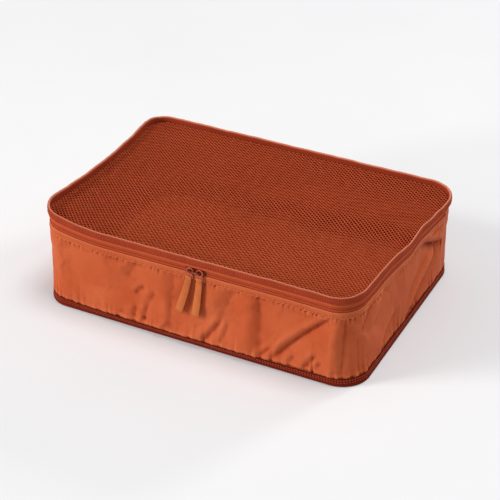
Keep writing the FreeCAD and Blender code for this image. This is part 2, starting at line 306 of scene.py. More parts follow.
def stitch_row(name, centres, tangents, outwards, length, radius, material, sink=0.25):
    """One closed grain of thread at each place."""
    sides = 5
    points, faces = [], []
    for centre, tangent, outward in zip(centres, tangents, outwards):
        tangent = tangent / np.linalg.norm(tangent)
        across = np.cross(outward, tangent)
        across /= np.linalg.norm(across)
        up = np.cross(tangent, across)
        middle = centre + up * radius * (0.5 - sink)
        reach = tangent * length / 2
        first = len(points)
        points.append(middle - reach)
        for place, share in GRAIN:
            for turn in 2 * math.pi * np.arange(sides) / sides:
                turned = across * math.cos(turn) + up * math.sin(turn)
                points.append(middle + reach * place + turned * radius * share)
        points.append(middle + reach)
        for k in range(sides):
            n = (k + 1) % sides
            faces.append((first, first + 1 + n, first + 1 + k))
            for a in (first + 1, first + 1 + sides):
                faces.append((a + k, a + n, a + sides + n, a + sides + k))
            a = first + 1 + 2 * sides
            faces.append((a + k, a + n, len(points) - 1))
    return mesh_piece(name, np.array(points), faces, material, fix_normals=False)


def sew(name, body, slot, s, inset, z, length, radius, material, sink=0.25):
    """A row of stitches along the outline at one inset and height, on the softened shape."""
    def spots(at):
        point, outward = outline(at)
        return soften(np.column_stack([point - outward * inset, np.full(len(at), z)]))
    here = spots(s)
    row = stitch_row(name, here, spots(s + 0.5) - here, outward_3d(s), length, radius, material, sink)
    belongs(row, body, slot)


def tube(name, path, radius, material, sides):
    """A round thread along points in mm."""
    count = len(path)
    ahead = np.gradient(path, axis=0)
    ahead /= np.linalg.norm(ahead, axis=1)[:, None]
    across = np.cross(ahead, np.array([0.0, 1.0, 0.0]))
    weak = np.linalg.norm(across, axis=1) < 1e-3
    across[weak] = np.array([1.0, 0.0, 0.0])
    across /= np.linalg.norm(across, axis=1)[:, None]
    up = np.cross(across, ahead)
    turn = 2 * math.pi * np.arange(sides) / sides
    ring = across[:, None, :] * np.cos(turn)[None, :, None] + up[:, None, :] * np.sin(turn)[None, :, None]
    points = path[:, None, :] + ring * radius
    faces = grid_faces(count, sides, False, True, np.arange(count + 1), np.arange(sides + 1))[0]
    faces.append(tuple(range(sides)))
    faces.append(tuple(range((count - 1) * sides, count * sides)))
    return mesh_piece(name, points, faces, material)


def join(name, *pieces):
    """Joins pieces of one body into one object."""
    bpy.ops.object.select_all(action="DESELECT")
    for piece in pieces:
        piece.select_set(True)
    bpy.context.view_layer.objects.active = pieces[0]
    bpy.ops.object.join()
    pieces[0].name = name
    return pieces[0]


# ---- materials

# The studio's light on a sunny face, in times white.
LIT = 1.2


def srgb(red, green, blue, lit=LIT):
    """Shader values for a colour, from 0 to 255, as it should look on a face lit by lit times white."""
    def linear(value):
        value /= 255
        return (value / 12.92 if value <= 0.04045 else ((value + 0.055) / 1.055) ** 2.4) / lit
    return (linear(red), linear(green), linear(blue), 1.0)


class Nodes:
    """A short way to write a material's nodes."""

    def __init__(self, name):
        self.material = bpy.data.materials.new(name)
        self.material.use_nodes = True
        self.tree = self.material.node_tree
        self.shader = self.tree.nodes["Principled BSDF"]

    def add(self, kind, **settings):
        node = self.tree.nodes.new(kind)
        for key, value in settings.items():
            setattr(node, key, value)
        return node

    def feed(self, socket, value):
        """Links an output to a socket, or sets the socket's own value."""
        if hasattr(value, "links"):
            self.tree.links.new(value, socket)
        else:
            socket.default_value = value

    def put(self, node, **values):
        for key, value in values.items():
            self.feed(node.inputs[key.replace("_", " ")], value)

    def coordinates(self, kind, turn=(0, 0, 0)):
        """Object or UV coordinates in metres, turned."""
        source = self.add("ShaderNodeTexCoord")
        mapping = self.add("ShaderNodeMapping")
        self.put(mapping, Rotation=turn, Vector=source.outputs[kind])
        return mapping.outputs["Vector"]

    def noise(self, where, scale, detail=3.0, roughness=0.55):
        node = self.add("ShaderNodeTexNoise")
        self.put(node, Vector=where, Scale=scale, Detail=detail, Roughness=roughness)
        return node.outputs["Fac"]

    def wave(self, where, pitch, direction, distortion):
        """Sine bands, pitch mm apart."""
        node = self.add("ShaderNodeTexWave", wave_type="BANDS", bands_direction=direction, wave_profile="SIN")
        self.put(node, Vector=where, Scale=2 * math.pi / (pitch * MM) / 20, Distortion=distortion)
        return node.outputs["Fac"]

    def math(self, operation, first, second=0.0, third=None):
        node = self.add("ShaderNodeMath", operation=operation)
        for index, value in enumerate((first, second) if third is None else (first, second, third)):
            self.feed(node.inputs[index], value)
        return node.outputs[0]

    def range(self, value, low, high, to_low, to_high):
        node = self.add("ShaderNodeMapRange")
        self.put(node, Value=value, From_Min=low, From_Max=high, To_Min=to_low, To_Max=to_high)
        return node.outputs["Result"]

    def mix(self, share, first, second):
        node = self.add("ShaderNodeMix", data_type="RGBA")
        self.put(node, Factor=share)
        for key, colour in (("A", first), ("B", second)):
            self.feed([i for i in node.inputs if i.name == key and i.type == "RGBA"][0], colour)
        return [o for o in node.outputs if o.type == "RGBA"][0]

    def dye(self, tone, deep, light, lit=LIT):
        """From the deep colour to the light one as the tone goes from 0.3 to 0.7."""
        return self.mix(self.range(tone, 0.3, 0.7, 0.0, 1.0), srgb(*deep, lit), srgb(*light, lit))

    def bump(self, height, strength, distance_m, onto=None):
        node = self.add("ShaderNodeBump")
        self.put(node, Strength=strength, Distance=distance_m, Height=height)
        if onto is not None:
            self.put(node, Normal=onto)
        return node.outputs["Normal"]

    def finish(self, colour, roughness, normal, ior=1.2):
        self.put(self.shader, IOR=ior, Base_Color=colour, Roughness=roughness)
        if normal is not None:
            self.put(self.shader, Normal=normal)
        return self.material

    def sheen(self, weight, roughness, tint):
        self.put(self.shader, Sheen_Weight=weight, Sheen_Roughness=roughness, Sheen_Tint=tint)


# The weave of the nylon as drawn, in mm.
WEAVE_PITCH = 1000 / 700
# Colours as they look on a sunny face, from 0 to 255, with the deeper shades that they mix with.
NYLON = (209, 104, 64)
NYLON_DEEP = (196, 88, 50)
BINDING = (188, 80, 50)
BINDING_DEEP = (134, 42, 24)
TAPE = (200, 90, 56)
TAPE_DEEP = (170, 64, 36)
THREAD = (198, 90, 56)
NET = (214, 98, 60)
NET_DEEP = (186, 72, 40)
STRAP = (218, 120, 64)
STRAP_DEEP = (200, 102, 50)


def nylon_material():
    """Plain-weave nylon with a soft gloss and uneven dye, with painted shade in its folds and a painted
    highlight on its ridges.
    """
    m = Nodes("nylon_cloth")
    cloth = m.coordinates("UV")
    place = m.coordinates("Object")
    warp = m.wave(cloth, WEAVE_PITCH, "X", 0.6)
    weft = m.wave(cloth, WEAVE_PITCH, "Y", 0.6)
    weave = m.math("MAXIMUM", warp, weft)
    broad = m.noise(place, 22, 3)
    fine = m.noise(cloth, 900, 2)
    crush = m.noise(place, 140, 4, 0.6)
    colour = m.dye(broad, NYLON_DEEP, NYLON)
    colour = m.mix(m.range(fine, 0.3, 0.75, 0.0, 0.16), colour, srgb(160, 64, 36))
    # Painted shade and painted highlight: concave folds are mixed towards a deep red and convex ridges
    # towards a pale orange, by the mesh's curvature.
    painted_fold_light = m.add("ShaderNodeNewGeometry").outputs["Pointiness"]
    colour = m.mix(m.range(painted_fold_light, 0.445, 0.498, 0.95, 0.0), colour, srgb(134, 40, 21))
    colour = m.mix(m.range(painted_fold_light, 0.504, 0.56, 0.0, 0.5), colour, srgb(240, 138, 92))
    roughness = m.range(crush, 0.3, 0.7, 0.36, 0.48)
    normal = m.bump(weave, 0.10, 0.00012)
    normal = m.bump(crush, 0.28, 0.0011, normal)
    m.sheen(0.02, 0.4, srgb(240, 150, 100))
    m.put(m.shader, Specular_IOR_Level=0.07)
    return m.finish(colour, roughness, normal)


def shaded_lining_material():
    """The coated inner face of the nylon: the same cloth, smoother, and darker by painted shade."""
    m = Nodes("nylon_lining_painted_shade")
    place = m.coordinates("Object")
    broad = m.noise(place, 30, 3)
    crush = m.noise(place, 150, 4, 0.6)
    colour = m.dye(broad, (150, 44, 22), (172, 60, 32))
    normal = m.bump(crush, 0.3, 0.001)
    m.sheen(0.05, 0.5, srgb(230, 130, 90))
    return m.finish(colour, m.range(crush, 0.3, 0.7, 0.38, 0.52), normal)


def grosgrain_material(name, light, deep, rib_pitch, rib_axis="X", strength=0.6, edge_highlight=None):
    """Ribbed tape: crosswise ribs with painted shade in their hollows and a dry surface, and a painted
    highlight line where one is given.

    The last argument gives the middle and half width, in mm across the tape, of that painted highlight line,
    with its colour."""
    m = Nodes(name)
    cloth = m.coordinates("UV")
    place = m.coordinates("Object")
    ribs = m.wave(cloth, rib_pitch, rib_axis, 0.4)
    threads = m.wave(cloth, 0.35, "Y" if rib_axis == "X" else "X", 0.8)
    broad = m.noise(place, 35, 3)
    fine = m.noise(cloth, 1300, 2)
    # Painted shade: the rib hollows are mixed towards the deep colour, on top of random tone.
    shade = m.math("MULTIPLY_ADD", ribs, 0.5, m.range(broad, 0.3, 0.7, 0.15, 0.4))
    colour = m.mix(shade, srgb(*deep), srgb(*light))
    colour = m.mix(m.range(fine, 0.35, 0.8, 0.0, 0.3), colour, srgb(*deep))
    # Painted highlight: a pale line along the tape, on the rim where its top fold catches the light.
    if edge_highlight is not None:
        split = m.add("ShaderNodeSeparateXYZ")
        m.put(split, Vector=cloth)
        away = m.math("ABSOLUTE", m.math("SUBTRACT", split.outputs["Y"], edge_highlight[0] * MM))
        near = m.range(away, 0.0, edge_highlight[1] * MM, 0.9, 0.0)
        highlight_share = m.math("MULTIPLY", near, m.range(fine, 0.3, 0.6, 0.45, 1.0))
        colour = m.mix(highlight_share, colour, srgb(*edge_highlight[2]))
    normal = m.bump(ribs, strength, 0.0003)
    normal = m.bump(threads, 0.15, 0.0001, normal)
    m.sheen(0.02, 0.4, srgb(240, 140, 90))
    m.put(m.shader, Specular_IOR_Level=0.12)
    return m.finish(colour, m.range(fine, 0.3, 0.7, 0.62, 0.8), normal)


def thread_material(name, light, deep, roughness=0.5):
    """Twisted yarn: slanted strands, with a slight lustre."""
    m = Nodes(name)
    place = m.coordinates("Object", turn=(0.0, 0.5, 0.6))
    twist = m.wave(place, 0.5, "X", 1.2)
    tone = m.noise(m.coordinates("Object"), 160, 3)
    shade = m.math("MULTIPLY_ADD", twist, 0.4, m.range(tone, 0.3, 0.7, 0.2, 0.6))
    colour = m.mix(shade, srgb(*deep), srgb(*light))
    m.sheen(0.02, 0.4, srgb(245, 150, 100))
    m.put(m.shader, Specular_IOR_Level=0.15)
    return m.finish(colour, roughness, m.bump(twist, 0.35, 0.00012))


def strap_material(name, light, deep):
    """Grained imitation leather with a satin face."""
    m = Nodes(name)
    place = m.coordinates("Object")
    cells = m.add("ShaderNodeTexVoronoi", feature="DISTANCE_TO_EDGE")
    m.put(cells, Vector=place, Scale=1100.0)
    grain = m.range(cells.outputs["Distance"], 0.0, 0.18, 0.0, 1.0)
    tone = m.noise(place, 90, 4)
    colour = m.dye(tone, deep, light)
    colour = m.mix(m.range(grain, 0.0, 1.0, 0.35, 0.0), colour, srgb(160, 74, 34))
    normal = m.bump(grain, 0.35, 0.00012)
    normal = m.bump(tone, 0.2, 0.0004, normal)
    m.put(m.shader, Specular_IOR_Level=0.3)
    return m.finish(colour, m.range(tone, 0.3, 0.7, 0.46, 0.6), normal, 1.3)


def paint_material(name, light, deep):
    """Zinc castings dipped in coloured lacquer, with a patchy painted highlight on their corners."""
    m = Nodes(name)
    place = m.coordinates("Object")
    tone = m.noise(place, 260, 4)
    edge = m.add("ShaderNodeNewGeometry").outputs["Pointiness"]
    # Painted highlight: convex corners, in random patches, are mixed towards a paler orange.
    edge_highlight = m.math("MULTIPLY", m.range(edge, 0.52, 0.62, 0.0, 0.6), m.range(tone, 0.45, 0.7, 0.0, 1.0))
    colour = m.dye(tone, deep, light)
    colour = m.mix(edge_highlight, colour, srgb(210, 120, 80))
    m.put(m.shader, Coat_Weight=0.12, Coat_Roughness=0.25, Specular_IOR_Level=0.3)
    return m.finish(colour, m.range(tone, 0.3, 0.7, 0.28, 0.42), m.bump(tone, 0.08, 0.0002), 1.4)


def floor_material():
    """A pale, plain studio sheet."""
    m = Nodes("studio_floor")
    tone = m.noise(m.coordinates("Object"), 3, 3)
    colour = m.dye(tone, (215, 215, 216), (218, 218, 219), 1.0)
    m.put(m.shader, Emission_Color=srgb(255, 255, 255, 1.0), Emission_Strength=0.1, Specular_IOR_Level=0.05)
    return m.finish(colour, 0.85, None)


NYLON_CLOTH = nylon_material()
SHADED_LINING = shaded_lining_material()
# The rim tape carries a painted highlight line along its top fold.
RIM_TAPE = grosgrain_material("rim_grosgrain", BINDING, BINDING_DEEP, 1.9, edge_highlight=(9.2, 2.0, (244, 164, 128)))
# The foot tape is partly its own deeper red-brown and partly painted shade, for the shade under the front's
# overhang, so it is dark all round.
SHADED_FOOT_TAPE = grosgrain_material("foot_grosgrain_painted_shade", (144, 44, 25), (94, 23, 12), 1.6)
ZIP_TAPE = grosgrain_material("zip_tape_weave", TAPE, TAPE_DEEP, 0.75, "Y", 0.35)
BAND_CLOTH = grosgrain_material("band_nylon", (210, 98, 60), (190, 80, 46), 0.4, "Y", 0.2)
# Painted shade: the coils are far darker than the tapes, for the shade in the gap between the tapes.
SHADED_COIL = thread_material("zip_coil_nylon_painted_shade", (160, 52, 24), (112, 30, 12), 0.4)
SEWING = thread_material("sewing_thread", THREAD, (150, 58, 32))
SEWING_DARK = thread_material("sewing_thread_foot", (214, 112, 78), (150, 60, 36))
# Painted shadow: a near-black thread for the shade between the wall's gathers and the foot binding.
SEAM_SHADOW_THREAD = thread_material("seam_thread_painted_shadow", (104, 30, 18), (70, 18, 10))
NET_THREAD = thread_material("net_thread", NET, NET_DEEP, 0.55)
STRAP_FACE = strap_material("strap_leather", STRAP, STRAP_DEEP)
# The cut edges: partly the strap's edge paint and partly painted shade for the strap's unlit sides.
STRAP_EDGE_AND_SHADE = strap_material("strap_painted_edge_and_shade", (138, 50, 26), (108, 34, 16))
# Painted shade: the sliders and zip stops take a far darker copy of the pullers' paint, for the shade behind
# the pullers' rings.
SHADED_SLIDER_PAINT = paint_material("slider_paint_painted_shade", (132, 44, 26), (104, 28, 16))
PULLER_PAINT = paint_material("puller_paint", (204, 92, 60), (180, 70, 42))


# ---- folds of the walls

def crease(distance, width):
    """Across a crease: a low crest, a steep drop, and a slow rise on the far side."""
    t = distance / width
    hollow = np.where(t < 0, np.exp(-np.abs(t / 0.8) ** 1.6), np.exp(-np.abs(t / 2.2) ** 1.2))
    crest = np.exp(-((t + 2.1) / 1.25) ** 2)
    return 0.5 * crest - hollow


CREASE_SIZE = 1.15
# The settling cloth's share of spare length, its time in frames, and how much of its creasing is taken.
SPARE, SETTLING_FRAMES, CRUMPLE_SHARE = 0.010, 30, 0.45
# Spacing of the hem's and the foot's gathers.
HEM_PITCH, FOOT_PITCH = 5.3, 10.5
# Folds stand out by at most CREST_LEAST where the tabs hang and by CREST_MORE beyond that elsewhere, easing
# off over the last SOFT_LIMIT. They sink in no deeper than HOLLOW_LIMIT.
CREST_LEAST, CREST_MORE, SOFT_LIMIT, HOLLOW_LIMIT = 0.05, 2.6, 0.6, -7.0
# Each crease: the place round the case and height of its start, the same of its end, its width and depth.
CREASES = (
    # front
    (-72, 56, -58, 80, 5.0, 1.3), (-96, 62, -86, 80, 5.0, 0.6), (-64, 8, -60, 28, 3.2, 1.4),
    (-62, 40, -52, 52, 2.6, 1.3), (-51, 14, -47, 32, 3.0, 1.7), (-48, 30, -40, 50, 3.4, 1.2),
    (-21, 10, -20, 46, 4.0, 1.5), (-20, 44, -17, 78, 6.0, 1.2), (15, 8, 35, 40, 3.2, 2.3),
    (35, 14, 43, 38, 2.4, 1.1), (34, 40, 47, 78, 7.0, 1.9), (74, 12, 77, 78, 6.0, 2.4),
    (88, 8, 152, 76, 3.6, 3.0), (122, 8, 137, 32, 3.0, 1.6), (165, 12, 168, 78, 5.5, 2.2),
    (-30, 8, -22, 22, 2.4, 1.0), (-56, 8, -50, 18, 2.2, 0.9), (76, 8, 90, 27, 2.4, 1.4),
    (104, 8, 113, 22, 2.4, 0.9), (132, 8, 142, 24, 2.4, 1.0), (-84, 8, -76, 20, 2.6, 0.6),
    # right
    (296, 8, 376, 54, 4.6, 7.5), (329, 76, 384, 54, 4.6, 5.0), (190, 54, 208, 80, 5.0, 2.4),
    (212, 46, 246, 78, 7.0, 3.2), (226, 8, 262, 34, 5.0, 2.6), (180, 12, 186, 50, 7.0, 1.4),
    # left
    (-236, 12, -262, 62, 9.0, 1.0), (-290, 10, -330, 68, 7.0, 1.7), (-345, 18, -372, 70, 6.0, 1.4),
    # back
    (430, 8, 470, 72, 7.0, 1.9), (500, 8, 522, 62, 6.0, 1.5), (560, 10, 612, 76, 7.0, 2.1),
    (640, 8, 655, 62, 5.0, 1.5), (690, 10, 742, 78, 8.0, 2.0), (762, 8, 776, 68, 6.0, 1.5),
)


def fold_depth(s, z):
    """Outward shift of the wall cloth at (s, z) from all its creases."""
    shift = np.zeros(np.broadcast(s, z).shape)
    for s0, z0, s1, z1, width, depth in CREASES:
        run = np.array([s1 - s0, z1 - z0], dtype=float)
        size = np.linalg.norm(run)
        run /= size
        ds, dz = s - s0, z - z0
        lengthwise = (ds * run[0] + dz * run[1]) / size
        crosswise = ds * run[1] - dz * run[0]
        crosswise = crosswise + 0.025 * size * np.sin(lengthwise * 3.6 + s0)
        reach = ease((lengthwise + 0.12) / 0.3) * ease((1.15 - lengthwise) / 0.4)
        here = width * (1.15 - 0.3 * np.clip(lengthwise, 0, 1))
        shift += CREASE_SIZE * depth * reach * crease(crosswise, here)
    return shift


def gather_phase(s):
    """Where the thread draws the hem in: a wave about 5 mm long, with an uneven pace and pull."""
    uneven = fractal_along(s * 0.045, 3.1)
    finer = fractal_along(s * 0.16, 7.7)
    wave = np.sin(2 * math.pi * s / HEM_PITCH + 5.0 * uneven + 2.2 * finer) * (0.75 + 0.8 * finer)
    return wave, uneven, finer


def pucker(s, z, hemmed):
    """Short gathers where the cloth is sewn: below the zip hem, if it has one, and above the foot binding."""
    hem, uneven, finer = (wave[:, None] for wave in gather_phase(s[:, 0]))
    drop = np.clip(HEM_BOTTOM + 1.0 - z, 0, None)
    reach = 1.7 + 2.5 * np.clip(uneven, 0, 1) ** 2 + 1.5 * np.clip(finer, 0, 1)
    below = hemmed * np.clip(drop / 0.8, 0, 1) * np.exp(-drop / reach)
    rise = np.clip(z - BINDING_TOP, 0, None)
    above = np.clip((z - BINDING_TOP + 1.5) / 2.5, 0, 1) * np.exp(-rise / (6.0 + 8 * np.clip(finer, 0, 1)))
    foot = np.sin(2 * math.pi * s / FOOT_PITCH + 6.0 * uneven) * (0.7 + 0.9 * finer)
    bulge = ease((z - BINDING_TOP) / 3.0) * np.exp(-np.clip(z - BINDING_TOP - 3.0, 0, None) / 8.0)
    return -4.6 * np.clip(hem, 0, 1.4) ** 1.5 * below + 0.95 * foot * above + 1.2 * bulge


def sewn_edges(z, low, high):
    """Fades relief out towards the sewn edges."""
    return ease((z - low - 5.0) / 6.0) * ease((high - z) / 7.0)


def broad_slack(s, z, low, high):
    """Slow, uneven slack that the settling cloth starts from."""
    broad = [fractal(a * 0.02, b * 0.03, 5.0, 2) for a, b in zip(s.ravel(), z.ravel())]
    return 1.6 * np.array(broad).reshape(s.shape) * sewn_edges(z, low, high)


def front_share(s):
    """1 along the front, where the tabs hang, falling to 0 at its corners."""
    return ease((160 - np.abs(s)) / 20.0)


def wall_shift(s, z, low, high):
    """The wall's folds, on a face drawn in a little where the tabs hang."""
    hanging = ease((z - 30.0) / 12.0) * front_share(s)
    return (fold_depth(s, z) - hanging) * sewn_edges(z, low, high)


def limit_relief(relief, s, z):
    """Folds within their limits, and hardly standing out at all where the tabs hang."""
    ceiling = CREST_LEAST + CREST_MORE * np.maximum(ease((80.0 - z) / 42.0), 1 - front_share(s))
    over = (relief - ceiling + SOFT_LIMIT).clip(0)
    eased = ceiling - SOFT_LIMIT * np.exp(-over / SOFT_LIMIT)
    return np.maximum(np.where(relief > ceiling - SOFT_LIMIT, eased, relief), HOLLOW_LIMIT)


def smooth_wall(s, levels):
    """The wall's even outer face on a grid of places round the case and heights."""
    point, outward = outline(s)
    flat = np.repeat((point - outward * WALL_INSET)[:, None, :], len(levels), axis=1)
    heights = np.repeat(levels[None, :], len(s), axis=0)
    return soften(np.concatenate([flat, heights[..., None]], axis=-1))


def crumple(start):
    """Cloth held along its top and bottom rows, with some spare length, settles into its own creases."""
    rows, columns = start.shape[:2]
    faces = grid_faces(rows, columns, False, False, np.arange(rows), np.arange(columns))[0]
    piece = mesh_piece("settling_cloth", start, faces, NYLON_CLOTH, fix_normals=False)
    sewn = piece.vertex_groups.new(name="sewn")
    held = [i * columns + j for i in range(rows) for j in range(columns)
            if i in (0, rows - 1) or j == columns - 1 or start[i, j, 2] < BINDING_TOP + 1.0]
    sewn.add(held, 1.0, "REPLACE")
    cloth = piece.modifiers.new("Cloth", "CLOTH")
    for key, value in dict(quality=6, mass=0.12, air_damping=2.0, tension_stiffness=14,
                           compression_stiffness=14, shear_stiffness=9, bending_stiffness=0.25,
                           vertex_group_mass="sewn", shrink_min=-SPARE).items():
        setattr(cloth.settings, key, value)
    cloth.settings.effector_weights.gravity = 0.0
    cloth.collision_settings.use_collision = False
    scene = bpy.context.scene
    for number in range(1, SETTLING_FRAMES + 1):
        scene.frame_set(number)
    settled = piece.evaluated_get(bpy.context.evaluated_depsgraph_get()).to_mesh()
    result = np.empty(len(settled.vertices) * 3)
    settled.vertices.foreach_get("co", result)
    scene.frame_set(1)
    bpy.data.objects.remove(piece)
    return result.reshape(rows, columns, 3) / MM


def refine(grid):
    """Halves a grid's spacing with a smooth curve through its points."""
    for axis in (0, 1):
        grid = np.swapaxes(grid, 0, axis)
        padded = np.concatenate([2 * grid[:1] - grid[1:2], grid, 2 * grid[-1:] - grid[-2:-1]])
        between = (9 * (padded[1:-2] + padded[2:-1]) - padded[:-3] - padded[3:]) / 16
        finer = np.empty((2 * len(grid) - 1,) + grid.shape[1:])
        finer[0::2], finer[1::2] = grid, between
        grid = np.swapaxes(finer, 0, axis)
    return grid


def wall_grid(s, levels, hemmed):
    """Outer face of the wall cloth, twice as fine as s and levels: folds, settled creases, then gathers."""
    low, high = levels[0], levels[-1]
    even = smooth_wall(s, levels)
    out = outward_3d(s)[:, None, :]
    grid_s, grid_z = np.meshgrid(s, levels, indexing="ij")
    bulged = even + broad_slack(grid_s, grid_z, low, high)[..., None] * out
    folded = even + CRUMPLE_SHARE * (crumple(bulged) - even)
    folded = folded + wall_shift(grid_s, grid_z, low, high)[..., None] * out
    relief = ((folded - even) * out).sum(axis=-1)
    sideways = folded - even - relief[..., None] * out
    cloth = refine(even + sideways + limit_relief(relief, grid_s, grid_z)[..., None] * out)
    s, levels = refine_line(s), refine_line(levels)
    grid_s, grid_z = np.meshgrid(s, levels, indexing="ij")
    edge = ease((grid_z - low) / 2.0) * ease((high - grid_z) / 2.0)
    gathers = pucker(grid_s, grid_z, hemmed) * edge
    return cloth + gathers[..., None] * outward_3d(s)[:, None, :], s, levels


def refine_line(values):
    """Evenly spaced values, twice as fine."""
    return np.linspace(values[0], values[-1], 2 * len(values) - 1)


def shell(name, outer, thickness, s, levels):
    """A closed sheet from its outer face: a lining lies thickness behind it."""
    inner = outer - outward_3d(s)[:, None, :] * thickness
    rows, columns = outer.shape[:2]
    around = 2 * columns
    ring = np.concatenate([outer, inner[:, ::-1]], axis=1)
    column_at = np.concatenate([levels, levels[::-1], levels[:1]])
    faces, uv = grid_faces(rows, around, False, True, s, column_at)
    for i in (0, rows - 1):
        for j in range(columns - 1):
            a = i * around + j
            b = i * around + around - 1 - j
            faces.append((a, a + 1, b - 1, b))
            uv += [(0, 0)] * 4
    piece = mesh_piece(name, ring, faces, NYLON_CLOTH, uv)
    # The inner faces take the lining, which is darkened by painted shade.
    piece.data.materials.append(SHADED_LINING)
    number = np.arange(len(faces))
    lining = (number < (rows - 1) * around) & (number % around >= columns)
    piece.data.polygons.foreach_set("material_index", lining.astype(int))
    return piece


# ---- cloth pieces of the case

# Thickness of the visible cloth, and the cloth that turns in at the hem.
SHEET, HEM_TURN = 0.6, 3.0


def make_walls():
    """The strip round the front and sides, and the back cloth that also forms the lid's hinge."""
    outer, s, levels = wall_grid(along(-SEAM_S, SEAM_S, 2.5), along(CLOTH, HEM_EDGE, 3.2), True)
    side = shell("side_wall_cloth", outer, SHEET, s, levels)
    belongs(side, "base", "nylon", "side_wall")
    outer, s, levels = wall_grid(along(SEAM_S, PERIMETER - SEAM_S, 3.2), along(CLOTH, RIM_BOTTOM, 3.6), False)
    back = shell("back_wall_cloth", outer, SHEET, s, levels)
    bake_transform(back)
    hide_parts("back_wall", "hinge_strip")


def make_bottom():
    """The bottom panel: one cloth, slightly quilted by its own slack."""
    rings = 26
    s = round_trip(5.0)
    count = len(s)
    half = rings * count
    point, outward = outline(s)
    edge = point - outward * WALL_INSET
    under = []
    for share in 1 - np.arange(rings) / rings:
        flat = edge * share
        wave = np.array([fractal(x * 0.02, y * 0.02, 1.0) for x, y in flat])
        rise = (1 - share ** 6) * np.clip(0.7 * wave + 0.5, 0, 1.4)
        under.append(np.column_stack([flat, 0.25 + rise]))
    under = np.concatenate(under)
    points = soften(np.concatenate([under, under + np.array([0, 0, 0.75])]))
    faces = []
    for base in (0, half):
        for ring in range(base, base + half - count, count):
            for k in range(count):
                n = (k + 1) % count
                faces.append((ring + k, ring + n, ring + count + n, ring + count + k))
        faces.append(tuple(range(base + half - count, base + half)))
    for k in range(count):
        n = (k + 1) % count
        faces.append((k, n, half + n, half + k))
    uv = [points[v][:2] for face in faces for v in face]
    piece = mesh_piece("bottom_panel_cloth", points, faces, NYLON_CLOTH, uv)
    belongs(piece, "base", "nylon", "bottom_panel")
    flat, area = cloth_size(WALL_INSET)


def push_out(points, s, amount, share):
    """Moves points outwards by an amount for each place along s, each in its share."""
    points[..., :2] += (outline(s)[1] * amount[:, None])[:, None, :] * share[..., None]


def wobble(points, s, size, pitch, seed):
    """Points moved up and out by about size, more towards their top: a sewn edge is never quite even."""
    rise = fractal_along(s / pitch, seed)
    push = fractal_along(s / pitch, seed + 9.0)
    level = points[..., 2] - points[..., 2].min(axis=1, keepdims=True)
    share = level / level.max(axis=1, keepdims=True)
    points[..., 2] += (rise * size)[:, None] * share
    push_out(points, s, push * size, share)
    return points


def make_lid_binding():
    """The grosgrain rib round the mesh: a tape folded over the seam and standing up."""
    profile = raised(RIM_BOTTOM, [(0.9, 0.3), (0.3, 0.6), (0.05, 1.5), (0.0, 3.2), (0.0, 5.2), (0.2, 6.7),
                                  (0.7, 7.6), (1.5, 7.95), (2.2, 7.7), (2.7, 7.0), (2.9, 5.6), (3.0, 3.6),
                                  (3.0, 1.6), (2.7, 0.4)])
    rim = closed_sweep("lid_binding_tape", round_trip(2.0), profile, RIM_TAPE,
                       shape=lambda p, s: wobble(p, s, 0.55, 21.0, 2.0))
    belongs(rim, "lid", "binding", "lid_binding")
    s = round_trip(2.9)
    sew("lid_binding_seam", "lid", "binding", s, 0.06, RIM_BOTTOM + 1.3, 2.1, 0.3, SEWING)
    sew("lid_binding_topstitch", "lid", "binding", s + 1.2, -0.02, RIM_BOTTOM + 4.4, 2.0, 0.26, SEWING)


def make_lid_band():
    """The lid's nylon band over the zip: a smooth roll that catches the light."""
    profile = raised(BAND_BOTTOM, [(2.1, -0.15), (1.6, -0.1), (1.2, 0.35), (0.95, 1.2), (1.0, 2.3),
                                   (1.3, 3.1), (1.8, 3.2), (2.4, 2.9), (2.75, 2.1), (2.75, 0.7),
                                   (2.5, 0.1)])
    band = closed_sweep("lid_band_cloth", along(-SEAM_S, SEAM_S, 2.0), profile, BAND_CLOTH, whole=False,
                        shape=lambda p, s: wobble(p, s, 0.3, 17.0, 4.0))
    belongs(band, "lid", "nylon", "lid_band")
    sew("lid_band_stitches", "lid", "nylon", beside_zip(2.9), 1.3, BAND_BOTTOM + 0.4, 2.0, 0.22, SEWING)


# Each tape's edge lies this far from the zip line; the coils' turns, each drawn with a few points.
TAPE_GAP = 0.2
COIL_TURNS, COIL_STEPS = 560, 6


